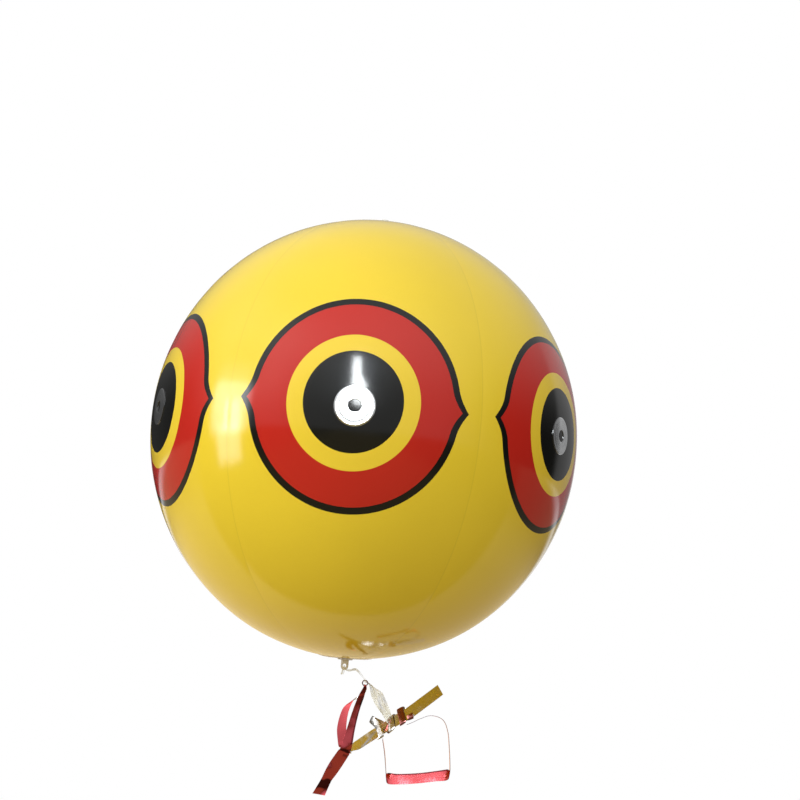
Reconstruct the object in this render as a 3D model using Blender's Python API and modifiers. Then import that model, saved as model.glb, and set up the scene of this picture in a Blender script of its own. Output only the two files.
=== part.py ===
"""Inflatable bird scare balloon: six welded vinyl gores with foil pupil discs, an inflation valve
on top that it hangs from, and a tail of metallic tape tied to a tab at the bottom.
Metres, +Z up. The origin is in the neck of the valve collar, where the hanging string is tied."""

import math

import bmesh
import bpy
from mathutils import Matrix, Vector

MM = 0.001

# The inflated ball
EQUATOR_RADIUS = 200 * MM
POLE_RADIUS = 206 * MM
GORE_COUNT = 6
FILM = 0.3 * MM
SEATED_GAP = 0.3 * MM
GORE_STEP = 7.5
GORE_FIRST_LATITUDE = -82.5
GORE_END_LATITUDE = 86.5
GORE_ROWS = 23
SEAM_DIP = 1.2 * MM
LAP_WIDTH = 5 * MM
LAP_DROOP = 0.4 * MM

# The printed eye's foil disc, one on each gore near the equator. The print of some gores lies a little
# off their middle, as far in degrees east and north as the register says.
EYE_LATITUDE = 0.15
EYE_REGISTER = ((0, 0), (0.35, 0.7), (0, 0), (0, 0), (0, 0), (-1.5, -0.33))
DISC_RADIUS = 16 * MM
DISC_HOLE_RADIUS = 4.6 * MM
DISC_THICKNESS = 0.2 * MM

# Round end patches over the gores' points
PATCH_RADIUS = 26 * MM
PATCH_THICKNESS = 0.4 * MM
TURNED_STEPS = 36

# Valve, heights counted up from the ball's top pole
COLLAR_NECK_HEIGHT = 1.6 * MM
COLLAR_TOP_HEIGHT = 2.8 * MM
COLLAR_NECK_RADIUS = 4.9 * MM
COLLAR_LIP_RADIUS = 5.6 * MM
COLLAR_FOOT_RADIUS = 7.0 * MM
FLANGE_RADIUS = 15 * MM
FLANGE_THICKNESS = 0.7 * MM
STEM_RADIUS = 3.6 * MM
STEM_BORE = 2.2 * MM
STEM_CLEARANCE = 0.35 * MM
RIM_RADIUS = 4.3 * MM
RIM_THICKNESS = 1.2 * MM
RIM_TOP_HEIGHT = 10.4 * MM
STEM_FOOT_DEPTH = 5.2 * MM
STEM_LIP_RADIUS = 4.6 * MM
STRAP_RING_OUTER = 5.2 * MM
STRAP_THICKNESS = 0.9 * MM
STRAP_WIDTH = 3.2 * MM
PLUG_CAP_RADIUS = 4.1 * MM
PLUG_CAP_THICKNESS = 1.3 * MM
PLUG_HINGE_X = 7.0 * MM
FLAP_RADIUS = 3.1 * MM
FLAP_THICKNESS = 0.5 * MM

# Tail tab at the bottom pole
TAB_WIDTH = 7 * MM
TAB_HEIGHT = 10 * MM
TAB_THICKNESS = 1.0 * MM
TAB_HOLE_RADIUS = 1.6 * MM

# Metallic tape of the tail
TAPE_THICKNESS = 0.35 * MM
CLEAR_THICKNESS = 0.5 * MM
KNOT_RING_RADIUS = 2.4 * MM
KNOT_WIRE_RADIUS = 0.5 * MM

# Silver tape wound round the slanted strip. A turn is a quarter past the strip's upper edge when it
# is behind the strip, and three quarters past it in front.
WRAP_TAPE_WIDTH = 6.2 * MM
WRAP_HALF_WIDTH = 6.9 * MM
WRAP_HALF_DEPTH = 1.5 * MM
WRAP_STEPS = 24
FRONT_TURN = 0.75

BALL_CENTRE_Z = -(POLE_RADIUS + COLLAR_NECK_HEIGHT)
TOP_POLE_Z = BALL_CENTRE_Z + POLE_RADIUS
BOTTOM_POLE_Z = BALL_CENTRE_Z - POLE_RADIUS
TAB_HOLE_Z = BOTTOM_POLE_Z - SEATED_GAP - PATCH_THICKNESS - 6.5 * MM


def clear_scene():
    for obj in list(bpy.data.objects):
        bpy.data.objects.remove(obj, do_unlink=True)


def new_collection(name):
    collection = bpy.data.collections.new(name)
    bpy.context.scene.collection.children.link(collection)
    return collection


def material(name, colour, roughness, metallic=0.0, alpha=1.0):
    made = bpy.data.materials.new(name)
    made.use_nodes = True
    shader = made.node_tree.nodes["Principled BSDF"]
    shader.inputs["Base Color"].default_value = (*colour, 1.0)
    shader.inputs["Roughness"].default_value = roughness
    shader.inputs["Metallic"].default_value = metallic
    shader.inputs["Alpha"].default_value = alpha
    return made


def add_object(name, data, look, parent=None, location=(0, 0, 0), rotation=(0, 0, 0)):
    obj = bpy.data.objects.new(name, data)
    PARTS.objects.link(obj)
    obj.parent = parent
    obj.location = location
    obj.rotation_euler = rotation
    if look:
        data.materials.clear()
        data.materials.append(look)
    return obj


def add_pivot(name, location, parent=None):
    """An empty on a joint's axis, or at a group's centre, with its own location counted in the world."""
    pivot = bpy.data.objects.new(name, None)
    PARTS.objects.link(pivot)
    pivot.parent = parent
    above = Vector((0, 0, 0))
    while parent:
        above += parent.location
        parent = parent.parent
    pivot.location = Vector(location) - above
    return pivot


def world_of(pivot):
    place = Vector((0, 0, 0))
    while pivot:
        place += pivot.location
        pivot = pivot.parent
    return place


def mesh_from(name, bm):
    bmesh.ops.recalc_face_normals(bm, faces=bm.faces)
    mesh = bpy.data.meshes.new(name)
    bm.to_mesh(mesh)
    bm.free()
    return mesh


def ball_point(longitude, latitude, offset=0.0):
    """A point of the inflated film, in degrees from the middle of gore 1, which faces -Y."""
    east = math.radians(longitude)
    north = math.radians(latitude)
    from_middle = (longitude + 180 / GORE_COUNT) % (360 / GORE_COUNT) - 180 / GORE_COUNT
    pinch = abs(from_middle) / (180 / GORE_COUNT)
    dip = SEAM_DIP * pinch**6 * math.cos(north)
    radius = EQUATOR_RADIUS - dip + offset
    height = POLE_RADIUS + offset
    return Vector(
        (
            radius * math.cos(north) * math.sin(east),
            -radius * math.cos(north) * math.cos(east),
            height * math.sin(north),
        )
    )


def gore_columns():
    """Longitudes across a gore. Its two edges stop short of the neighbours, so that the solids stay apart."""
    half = 180 / GORE_COUNT
    trim = math.degrees(SEATED_GAP / 2 / EQUATOR_RADIUS)
    columns = [-half + trim]
    columns += [-half + GORE_STEP * i for i in range(1, int(2 * half / GORE_STEP))]
    columns.append(half - trim)
    return columns


def gore_rows():
    rows = [-GORE_END_LATITUDE]
    rows += [GORE_FIRST_LATITUDE + GORE_STEP * i for i in range(GORE_ROWS)]
    rows.append(GORE_END_LATITUDE)
    return rows


def gore_mesh():
    """One film gore, 60 degrees wide, with the weld lap that reaches in under the next gore."""
    bm = bmesh.new()
    columns = gore_columns()
    rows = gore_rows()
    outer = []
    inner = []
    for latitude in rows:
        outer_row = [bm.verts.new(ball_point(x, latitude)) for x in columns]
        inner_row = [bm.verts.new(ball_point(x, latitude, -FILM)) for x in columns]
        lap_drop = -FILM - SEATED_GAP
        lap_angle = math.degrees(LAP_WIDTH / EQUATOR_RADIUS)
        step_in = columns[-1] - lap_angle * 0.15
        lap_end = columns[-1] + lap_angle
        outer_row[-1:] = [
            outer_row[-1],
            bm.verts.new(ball_point(columns[-1], latitude, lap_drop)),
            bm.verts.new(ball_point(lap_end, latitude, lap_drop - LAP_DROOP)),
        ]
        inner_row[-1:] = [
            bm.verts.new(ball_point(step_in, latitude, -FILM)),
            bm.verts.new(ball_point(step_in, latitude, lap_drop - FILM)),
            bm.verts.new(ball_point(lap_end, latitude, lap_drop - LAP_DROOP - FILM)),
        ]
        outer.append(outer_row)
        inner.append(inner_row)
    for low, high in zip(outer, outer[1:]):
        for i in range(len(low) - 1):
            bm.faces.new((low[i], low[i + 1], high[i + 1], high[i]))
    for low, high in zip(inner, inner[1:]):
        for i in range(len(low) - 1):
            bm.faces.new((high[i], high[i + 1], low[i + 1], low[i]))
    for low_out, high_out, low_in, high_in in zip(outer, outer[1:], inner, inner[1:]):
        bm.faces.new((low_out[0], high_out[0], high_in[0], low_in[0]))
        bm.faces.new((high_out[-1], low_out[-1], low_in[-1], high_in[-1]))
    for out_row, in_row in ((outer[0], inner[0]), (outer[-1], inner[-1])):
        for i in range(len(out_row) - 1):
            bm.faces.new((out_row[i], out_row[i + 1], in_row[i + 1], in_row[i]))
    unused = [vert for vert in bm.verts if not vert.link_faces]
    bmesh.ops.delete(bm, geom=unused, context="VERTS")
    return mesh_from("gore", bm)


def disc_mesh(east, north):
    """The round foil sticker with its hole, lying on the curve of gore 1, that far off its middle."""
    bm = bmesh.new()
    around = 32
    radii = [DISC_HOLE_RADIUS, DISC_RADIUS]
    layers = [SEATED_GAP, SEATED_GAP + DISC_THICKNESS]
    rings = {}
    for layer, offset in enumerate(layers):
        for index, radius in enumerate(radii):
            ring = []
            for step in range(around):
                angle = math.tau * step / around
                longitude = east + math.degrees(radius * math.cos(angle) / EQUATOR_RADIUS)
                latitude = EYE_LATITUDE + north + math.degrees(radius * math.sin(angle) / POLE_RADIUS)
                ring.append(bm.verts.new(ball_point(longitude, latitude, offset)))
            rings[layer, index] = ring
    for step in range(around):
        after = (step + 1) % around
        for layer in range(2):
            for index in range(len(radii) - 1):
                near = rings[layer, index]
                far = rings[layer, index + 1]
                bm.faces.new((near[step], far[step], far[after], near[after]))
        for index in (0, len(radii) - 1):
            low = rings[0, index]
            high = rings[1, index]
            bm.faces.new((low[step], high[step], high[after], low[after]))
    return mesh_from("disc", bm)


def turned(name, profile, look, parent, location=(0, 0, 0), steps=TURNED_STEPS, closed=True):
    """A turned solid about Z. The profile runs down its outer side, from the top, in (radius, height) pairs."""
    mesh = bpy.data.meshes.new(name)
    points = [(radius, 0, height) for radius, height in profile]
    edges = [(i, i + 1) for i in range(len(points) - 1)]
    if closed:
        edges.append((len(points) - 1, 0))
    mesh.from_pydata(points, edges, [])
    obj = add_object(name, mesh, look, parent, location)
    screw = obj.modifiers.new("Turn", "SCREW")
    screw.steps = steps
    screw.render_steps = steps
    screw.use_merge_vertices = True
    screw.merge_threshold = 0.00001
    return obj


def cap_profile(inner_radius, outer_radius, gap, thickness, steps=4):
    """The section of a domed patch that follows the ball's pole, with heights from the ball's centre."""
    low = []
    high = []
    for i in range(steps + 1):
        radius = outer_radius + (inner_radius - outer_radius) * i / steps
        height = POLE_RADIUS * math.sqrt(1 - (radius / EQUATOR_RADIUS) ** 2)
        high.append((radius, height + gap + thickness))
        low.append((radius, height + gap))
    return list(reversed(high)) + low


def curve_plate(name, outlines, thickness):
    """A flat plate in the XZ plane from closed outlines of (x, z) points. The second outline is a hole."""
    curve = bpy.data.curves.new(name, "CURVE")
    curve.dimensions = "2D"
    curve.fill_mode = "BOTH"
    curve.extrude = thickness / 2
    for outline in outlines:
        spline = curve.splines.new("POLY")
        spline.points.add(len(outline) - 1)
        for point, (x, z) in zip(spline.points, outline):
            point.co = (x, z, 0, 1)
        spline.use_cyclic_u = True
    flat = bpy.data.objects.new(name, curve)
    bpy.context.scene.collection.objects.link(flat)
    bpy.context.view_layer.update()
    graph = bpy.context.evaluated_depsgraph_get()
    mesh = bpy.data.meshes.new_from_object(flat.evaluated_get(graph))
    bpy.data.objects.remove(flat, do_unlink=True)
    mesh.transform(Matrix.Rotation(math.radians(90), 4, "X"))
    bm = bmesh.new()
    bm.from_mesh(mesh)
    bmesh.ops.remove_doubles(bm, verts=bm.verts, dist=0.000001)
    bmesh.ops.recalc_face_normals(bm, faces=bm.faces)
    bm.to_mesh(mesh)
    bm.free()
    return mesh


def arc(centre_x, centre_z, radius, start, end, steps):
    """Points of an arc in the XZ plane, in degrees from +X toward +Z."""
    points = []
    for i in range(steps + 1):
        angle = math.radians(start + (end - start) * i / steps)
        points.append((centre_x + radius * math.cos(angle), centre_z + radius * math.sin(angle)))
    return points


def through(values, steps):
    """A smooth run of vectors through the given ones, with the same number of steps in each stretch."""
    out = []
    last = len(values) - 1
    for i in range(last):
        before = values[max(i - 1, 0)]
        start = values[i]
        end = values[i + 1]
        after = values[min(i + 2, last)]
        for k in range(steps):
            t = k / steps
            out.append(
                0.5
                * (
                    2 * start
                    + (end - before) * t
                    + (2 * before - 5 * start + 4 * end - after) * t**2
                    + (3 * start - before - 3 * end + after) * t**3
                )
            )
    out.append(values[last])
    return out


def ribbon_mesh(name, stations, thickness, origin, steps=3):
    """A flat tape through stations of (centre, half width vector), in millimetres from the ball's centre."""
    shift = Vector((0, 0, BALL_CENTRE_Z)) - origin
    centres = through([Vector(centre) * MM + shift for centre, _ in stations], steps)
    halves = through([Vector(half) * MM for _, half in stations], steps)
    return tape_mesh(name, centres, halves, thickness)


def tape_mesh(name, centres, halves, thickness):
    """A closed flat tape along the centres, each with the vector to its edge."""
    bm = bmesh.new()
    rings = []
    last = len(centres) - 1
    for i, (centre, half) in enumerate(zip(centres, halves)):
        along = centres[min(i + 1, last)] - centres[max(i - 1, 0)]
        off = along.cross(half).normalized() * thickness / 2
        corners = (centre - half - off, centre + half - off, centre + half + off, centre - half + off)
        rings.append([bm.verts.new(corner) for corner in corners])
    for ring, following in zip(rings, rings[1:]):
        for k in range(4):
            n = (k + 1) % 4
            bm.faces.new((ring[k], ring[n], following[n], following[k]))
    bm.faces.new(rings[0])
    bm.faces.new(list(reversed(rings[-1])))
    return mesh_from(name, bm)


# Routes of the tail, in millimetres from the ball's centre, as (centre, half of the width)
CLEAR_ROUTE = [
    ((-1.6, 3.4, -221.5), (1.6, 0.0, 0.2)),
    ((-0.8, 2.6, -217.0), (1.2, 0.0, 0.1)),
    ((-0.1, 1.5, -213.9), (0.8, 0.0, 0.0)),
    ((0.0, 0.0, -213.1), (0.8, 0.0, 0.0)),
    ((0.2, -1.5, -213.9), (0.8, 0.0, 0.1)),
    ((1.6, -2.1, -216.2), (0.9, 0.1, 0.7)),
    ((5.4, -1.8, -216.8), (0.3, -0.2, 1.1)),
    ((10.8, -1.4, -215.8), (0.3, 0.6, 0.9)),
    ((16.2, -1.9, -220.0), (0.5, 0.6, 0.5)),
    ((19.6, -3.4, -223.6), (0.8, 0.0, 0.2)),
    ((20.5, -3.0, -225.2), (0.8, 0.0, 0.0)),
    ((20.6, -1.9, -225.8), (0.8, 0.0, 0.0)),
    ((20.9, -0.6, -226.1), (0.8, 0.1, 0.0)),
    ((23.4, 0.9, -227.4), (1.0, 0.9, -0.9)),
    ((27.2, 1.4, -229.8), (3.0, 1.4, -1.6)),
    ((31.7, 1.2, -236.6), (4.6, -1.0, 2.4)),
    ((37.1, 1.4, -245.0), (4.4, 1.6, 2.2)),
    ((42.0, 2.6, -252.6), (3.4, -1.2, 2.0)),
    ((45.6, 3.0, -259.4), (2.6, 0.6, 1.4)),
]
RED_ROUTE = [
    ((20.3, -0.3, -235.2), (1.6, 0.0, 0.2)),
    ((20.3, -0.5, -231.4), (1.2, 0.0, 0.0)),
    ((20.3, -1.0, -229.2), (0.9, 0.0, 0.0)),
    ((20.3, -1.9, -228.4), (0.9, 0.0, 0.0)),
    ((20.3, -2.8, -229.2), (0.9, 0.0, 0.0)),
    ((20.2, -3.4, -231.6), (1.6, -0.6, 0.2)),
    ((18.1, -3.8, -238.7), (3.2, 1.2, 1.0)),
    ((14.4, -4.0, -251.4), (3.3, -1.4, 0.9)),
    ((11.4, -3.8, -267.0), (3.8, 1.0, 0.8)),
    ((9.6, -3.6, -280.0), (4.8, 0.6, 0.8)),
    ((7.4, -3.2, -287.4), (5.0, 1.6, -1.6)),
    ((0.6, -2.4, -299.2), (5.0, 0.0, -2.6)),
    ((-6.6, -1.8, -313.0), (5.2, 1.0, -2.4)),
    ((-12.6, -1.0, -326.7), (5.6, 0.0, -0.6)),
]
BOW_ROUTE = [
    ((20.9, 0.7, -229.8), (0.9, 0.0, 0.0)),
    ((20.4, 1.1, -233.4), (1.6, 0.4, 0.2)),
    ((17.4, 1.6, -239.6), (2.2, 0.8, 2.2)),
    ((10.4, 1.4, -243.4), (0.8, 1.6, 3.4)),
    ((4.6, 0.8, -252.6), (2.8, -1.0, 2.4)),
    ((2.6, 0.6, -267.4), (4.0, 0.6, 0.6)),
    ((4.6, 0.4, -279.0), (4.6, 0.4, -0.8)),
    ((6.6, 0.6, -285.4), (5.6, 0.2, -2.2)),
    ((8.4, 2.0, -287.0), (5.8, 0.0, -2.6)),
    ((10.6, 3.2, -284.6), (5.4, 0.4, -3.0)),
    ((21.0, 2.6, -279.3), (3.0, -2.6, -3.9)),
    ((31.0, 0.8, -272.6), (3.3, -0.8, -4.4)),
    ((41.6, 0.0, -264.9), (3.3, 0.4, -4.4)),
    ((52.7, 0.0, -256.8), (3.3, 0.4, -4.4)),
    ((63.0, 0.0, -249.8), (3.4, -0.6, -4.4)),
    ((75.9, -0.6, -238.9), (2.8, -2.8, -3.8)),
    ((89.6, -1.0, -227.1), (2.7, -3.0, -3.7)),
]
LOOP_ROUTE = [
    ((40.6, 0.0, -275.0), (0.0, 5.0, 0.0)),
    ((42.4, 0.0, -282.0), (0.0, 5.8, 0.0)),
    ((44.2, 0.0, -290.5), (0.0, 6.0, 0.0)),
    ((46.0, 0.2, -301.5), (0.0, 5.8, -0.6)),
    ((49.6, 0.4, -307.8), (0.0, 4.8, -3.4)),
    ((58.0, 0.4, -308.4), (0.0, 4.3, -4.2)),
    ((76.0, 0.4, -306.0), (0.0, 4.3, -4.2)),
    ((92.0, 0.4, -302.6), (0.0, 4.4, -4.2)),
    ((100.6, 0.2, -299.6), (0.0, 4.8, -3.2)),
    ((103.2, 0.0, -293.0), (0.0, 5.8, -0.6)),
    ((101.6, 0.0, -278.0), (0.0, 6.0, 0.0)),
    ((99.0, 0.0, -263.0), (0.0, 6.0, 0.0)),
    ((93.6, 0.0, -253.4), (0.0, 6.0, 0.0)),
    ((83.0, 0.0, -250.8), (0.0, 5.8, 0.0)),
    ((73.6, 0.0, -254.2), (0.0, 5.2, 0.0)),
    ((66.0, 0.0, -258.4), (0.0, 4.8, 0.0)),
    ((61.4, 0.0, -260.3), (0.0, 4.6, 0.0)),
]

# The straight stretch of the slanted strip, and where it carries the loop and the windings
STRIP_START = Vector(BOW_ROUTE[12][0])
LOOP_PLACE = Vector(BOW_ROUTE[13][0])
STRIP_WAY = (LOOP_PLACE - STRIP_START).normalized()
STRIP_SLOPE = math.atan2(STRIP_WAY.z, STRIP_WAY.x)

# Windings: how far past the loop's place the first front crossing lies, the pitch, the first and last
# turn, and the share by which the winding gets looser toward its end
WINDINGS = (
    (-17.9 * MM, 11.4 * MM, 0.45, 2.12, 0.0),
    (4.8 * MM, 8.2 * MM, 0.42, 1.66, 0.3),
)
RING_PLACE = (20.3, -1.9, -227.0)


def make_ball(centre):
    look = material("yellow_vinyl", (0.92, 0.62, 0.045), 0.22)
    foil = material("silver_foil", (0.86, 0.87, 0.88), 0.12, metallic=1.0)
    gore = gore_mesh()
    for index in range(GORE_COUNT):
        turn = (0, 0, math.tau * index / GORE_COUNT)
        add_object(f"gore_{index + 1}", gore, look, centre, rotation=turn)
        disc = disc_mesh(*EYE_REGISTER[index % len(EYE_REGISTER)])
        add_object(f"pupil_disc_{index + 1}", disc, foil, centre, rotation=turn)


def make_patches(centre):
    look = material("clear_patch", (0.90, 0.86, 0.70), 0.2, alpha=0.45)
    hole = COLLAR_FOOT_RADIUS + SEATED_GAP
    ring = cap_profile(hole, PATCH_RADIUS, SEATED_GAP, PATCH_THICKNESS)
    turned("top_patch", ring, look, centre)
    cap = cap_profile(0.0, PATCH_RADIUS, SEATED_GAP, PATCH_THICKNESS)
    bottom = turned("bottom_patch", cap, look, centre, closed=False)
    bottom.rotation_euler = (math.pi, 0, 0)


def make_valve_base(centre):
    """The welded flange inside the film, and the grooved collar that stands up through the patch."""
    look = material("clear_valve", (0.86, 0.87, 0.85), 0.12, alpha=0.5)
    bore = STEM_RADIUS + STEM_CLEARANCE
    pole = POLE_RADIUS
    sag = POLE_RADIUS * (1 - math.sqrt(1 - (FLANGE_RADIUS / EQUATOR_RADIUS) ** 2))
    flange_top = pole - sag - 2 * FILM - LAP_DROOP - 2 * SEATED_GAP
    profile = [
        (bore, pole + COLLAR_TOP_HEIGHT),
        (COLLAR_LIP_RADIUS - 0.3 * MM, pole + COLLAR_TOP_HEIGHT),
        (COLLAR_LIP_RADIUS, pole + COLLAR_TOP_HEIGHT - 0.3 * MM),
        (COLLAR_LIP_RADIUS, pole + COLLAR_TOP_HEIGHT - 0.6 * MM),
        (COLLAR_NECK_RADIUS, pole + COLLAR_NECK_HEIGHT + 0.3 * MM),
        (COLLAR_NECK_RADIUS, pole + COLLAR_NECK_HEIGHT - 0.3 * MM),
        (COLLAR_LIP_RADIUS, pole + 0.9 * MM),
        (COLLAR_FOOT_RADIUS, pole + 0.6 * MM),
        (COLLAR_FOOT_RADIUS, flange_top),
        (FLANGE_RADIUS, flange_top),
        (FLANGE_RADIUS, flange_top - FLANGE_THICKNESS),
        (bore + 0.8 * MM, flange_top - FLANGE_THICKNESS),
        (bore + 0.8 * MM, pole - 3.2 * MM),
        (bore, pole - 3.2 * MM),
    ]
    turned("valve_base", profile, look, centre)
    return look


def make_valve(ball_pivot, clear):
    """The push-in stem with its plug strap, the plug on its film hinge and the flap inside."""
    stem_pivot = add_pivot("stem_slide", (0, 0, TOP_POLE_Z), ball_pivot)
    neck_radius = STEM_RADIUS
    profile = [
        (STEM_BORE, RIM_TOP_HEIGHT),
        (RIM_RADIUS - 0.3 * MM, RIM_TOP_HEIGHT),
        (RIM_RADIUS, RIM_TOP_HEIGHT - 0.3 * MM),
        (RIM_RADIUS, RIM_TOP_HEIGHT - RIM_THICKNESS + 0.2 * MM),
        (RIM_RADIUS - 0.2 * MM, RIM_TOP_HEIGHT - RIM_THICKNESS),
        (neck_radius, RIM_TOP_HEIGHT - RIM_THICKNESS),
        (neck_radius, -3.6 * MM),
        (STEM_LIP_RADIUS, -3.6 * MM),
        (STEM_LIP_RADIUS, -STEM_FOOT_DEPTH),
        (STEM_BORE, -STEM_FOOT_DEPTH),
    ]
    turned("valve_stem", profile, clear, stem_pivot, steps=28)

    strap_look = material("plug_strap", (0.80, 0.82, 0.82), 0.25, alpha=0.75)
    ring_top = RIM_TOP_HEIGHT - RIM_THICKNESS - SEATED_GAP
    strap = strap_mesh(ring_top)
    add_object("plug_strap", strap, strap_look, stem_pivot)

    hinge_z = RIM_TOP_HEIGHT + SEATED_GAP + PLUG_CAP_THICKNESS / 2
    plug_pivot = add_pivot("plug_hinge", (PLUG_HINGE_X, 0, TOP_POLE_Z + hinge_z), stem_pivot)
    plug_look = material("plug", (0.74, 0.76, 0.78), 0.2, alpha=0.8)
    add_object("valve_plug", plug_mesh(), plug_look, plug_pivot)

    flap_z = -STEM_FOOT_DEPTH - SEATED_GAP - FLAP_THICKNESS / 2
    flap_pivot = add_pivot("flap_hinge", (FLAP_RADIUS + 0.3 * MM, 0, TOP_POLE_Z + flap_z), stem_pivot)
    flap = bmesh.new()
    bmesh.ops.create_cone(
        flap, cap_ends=True, segments=24, radius1=FLAP_RADIUS, radius2=FLAP_RADIUS, depth=FLAP_THICKNESS
    )
    bmesh.ops.translate(flap, verts=flap.verts, vec=(-FLAP_RADIUS - 0.3 * MM, 0, 0))
    flap_look = material("check_flap", (0.85, 0.86, 0.84), 0.25, alpha=0.6)
    add_object("check_flap", mesh_from("check_flap", flap), flap_look, flap_pivot)


def boolean(base, other, operation):
    """Joins or cuts two meshes with one exact Boolean and gives the result back as a mesh."""
    first = bpy.data.objects.new("first", base)
    second = bpy.data.objects.new("second", other)
    for obj in (first, second):
        bpy.context.scene.collection.objects.link(obj)
    step = first.modifiers.new("Join", "BOOLEAN")
    step.operation = operation
    step.solver = "EXACT"
    step.object = second
    bpy.context.view_layer.update()
    graph = bpy.context.evaluated_depsgraph_get()
    mesh = bpy.data.meshes.new_from_object(first.evaluated_get(graph))
    for obj in (first, second):
        bpy.data.objects.remove(obj, do_unlink=True)
    return mesh


def cylinder_mesh(radius, bottom, top, segments, top_radius=None):
    bm = bmesh.new()
    bmesh.ops.create_cone(
        bm,
        cap_ends=True,
        segments=segments,
        radius1=radius,
        radius2=radius if top_radius is None else top_radius,
        depth=top - bottom,
    )
    bmesh.ops.translate(bm, verts=bm.verts, vec=(0, 0, (top + bottom) / 2))
    return mesh_from("cylinder", bm)


def box_mesh(low, high):
    bm = bmesh.new()
    bmesh.ops.create_cube(bm, size=1.0)
    low = Vector(low)
    high = Vector(high)
    for vert in bm.verts:
        vert.co = (low + high) / 2 + Vector([vert.co[k] * (high - low)[k] for k in range(3)])
    return mesh_from("box", bm)


def strap_mesh(ring_top):
    """A ring round the stem under its rim, and a strap that turns up to the plug's hinge."""
    ring_bottom = ring_top - STRAP_THICKNESS
    hinge_bottom = RIM_TOP_HEIGHT + SEATED_GAP
    ring = cylinder_mesh(STRAP_RING_OUTER, ring_bottom, ring_top, 32)
    arm_start = STRAP_RING_OUTER - 0.6 * MM
    arm_end = PLUG_HINGE_X + STRAP_THICKNESS / 2
    half = STRAP_WIDTH / 2
    foot = box_mesh((arm_start, -half, ring_bottom), (arm_end, half, ring_top))
    upright = box_mesh(
        (arm_end - STRAP_THICKNESS, -half, ring_bottom), (arm_end, half, hinge_bottom - 0.1 * MM)
    )
    arm = boolean(foot, upright, "UNION")
    joined = boolean(ring, arm, "UNION")
    hole = cylinder_mesh(STEM_RADIUS + SEATED_GAP, ring_bottom - MM, ring_top + MM, 28)
    return boolean(joined, hole, "DIFFERENCE")


def plug_mesh():
    """A flat cap with a tapered spigot below it and an ear to the hinge. The mesh is about the hinge."""
    cap_bottom = -PLUG_CAP_THICKNESS / 2
    cap_top = PLUG_CAP_THICKNESS / 2
    cap = cylinder_mesh(PLUG_CAP_RADIUS, cap_bottom, cap_top, 28)
    spigot = cylinder_mesh(1.1 * MM, cap_bottom - SEATED_GAP - 3.0 * MM, cap_bottom + 0.3 * MM, 24, 1.95 * MM)
    ear = box_mesh(
        (PLUG_CAP_RADIUS - MM, -STRAP_WIDTH / 2, cap_bottom),
        (PLUG_HINGE_X + STRAP_THICKNESS / 2, STRAP_WIDTH / 2, cap_bottom + STRAP_THICKNESS),
    )
    plug = boolean(boolean(cap, spigot, "UNION"), ear, "UNION")
    plug.transform(Matrix.Translation((-PLUG_HINGE_X, 0, 0)))
    return plug


def make_tab(centre):
    """The clear lug that the tail is tied to: a round foot under the bottom patch and a holed plate."""
    look = material("clear_tab", (0.90, 0.88, 0.76), 0.18, alpha=0.6)
    foot_top = -POLE_RADIUS - 2 * SEATED_GAP - PATCH_THICKNESS
    foot = cylinder_mesh(TAB_WIDTH, foot_top - 0.8 * MM, foot_top, 32)
    plate_top = foot_top - 0.3 * MM
    plate_bottom = plate_top - TAB_HEIGHT
    half = TAB_WIDTH / 2
    hole_z = TAB_HOLE_Z - BALL_CENTRE_Z
    outline = [(half, plate_top), (-half, plate_top)]
    outline += arc(0, plate_bottom + half, half, 180, 360, 14)
    hole = arc(0, hole_z, TAB_HOLE_RADIUS, 0, 360, 20)[:-1]
    plate = curve_plate("tail_tab", [outline, hole], TAB_THICKNESS)
    add_object("tail_tab", boolean(foot, plate, "UNION"), look, centre)


def ring_mesh(name, radius, wire, around, across):
    """A round wire ring about the Y axis."""
    bm = bmesh.new()
    rings = []
    for i in range(around):
        turn = math.tau * i / around
        ring = []
        for k in range(across):
            section = math.tau * k / across
            reach = radius + wire * math.cos(section)
            ring.append(bm.verts.new((reach * math.cos(turn), wire * math.sin(section), reach * math.sin(turn))))
        rings.append(ring)
    for i, ring in enumerate(rings):
        following = rings[(i + 1) % around]
        for k in range(across):
            n = (k + 1) % across
            bm.faces.new((ring[k], ring[n], following[n], following[k]))
    return mesh_from(name, bm)


def least_gap(name, centres, halves):
    """Prints how near a winding's turns come to each other, edge to edge, on the points of its edges."""
    edges = []
    for place, (centre, half) in enumerate(zip(centres, halves)):
        edges.append((place, centre - half))
        edges.append((place, centre + half))
    apart = [
        (first - second).length
        for place, first in edges
        for other, second in edges
        if other - place > WRAP_STEPS // 2
    ]
    print(f"{name}: least gap between its turns {min(apart) / MM - TAPE_THICKNESS / MM:.2f} mm")


def winding_mesh(name, pitch, first_turn, last_turn, loosening):
    """One unbroken tape wound round the strip along X: an open helix on a long oval. Where it gets
    looser it stands off the strip's upper edge."""
    count = round((last_turn - first_turn) * WRAP_STEPS)
    centres = []
    halves = []
    for i in range(count + 1):
        turn = first_turn + i / WRAP_STEPS
        looser = 1 + loosening * i / count
        across = math.cos(math.tau * turn)
        deep = math.sin(math.tau * turn)
        bulge = math.copysign(abs(deep) ** 0.7, deep)
        depth = (WRAP_HALF_DEPTH * looser + TAPE_THICKNESS / 2) * bulge
        height = (WRAP_HALF_WIDTH * looser + TAPE_THICKNESS / 2) * across
        rise = WRAP_HALF_WIDTH * (looser - 1)
        centres.append(Vector((pitch * (turn - FRONT_TURN), depth, height + rise)))
        halves.append(Vector((WRAP_TAPE_WIDTH / 2, 0, 0)))
    least_gap(name, centres, halves)
    return tape_mesh(name, centres, halves, TAPE_THICKNESS)


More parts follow.
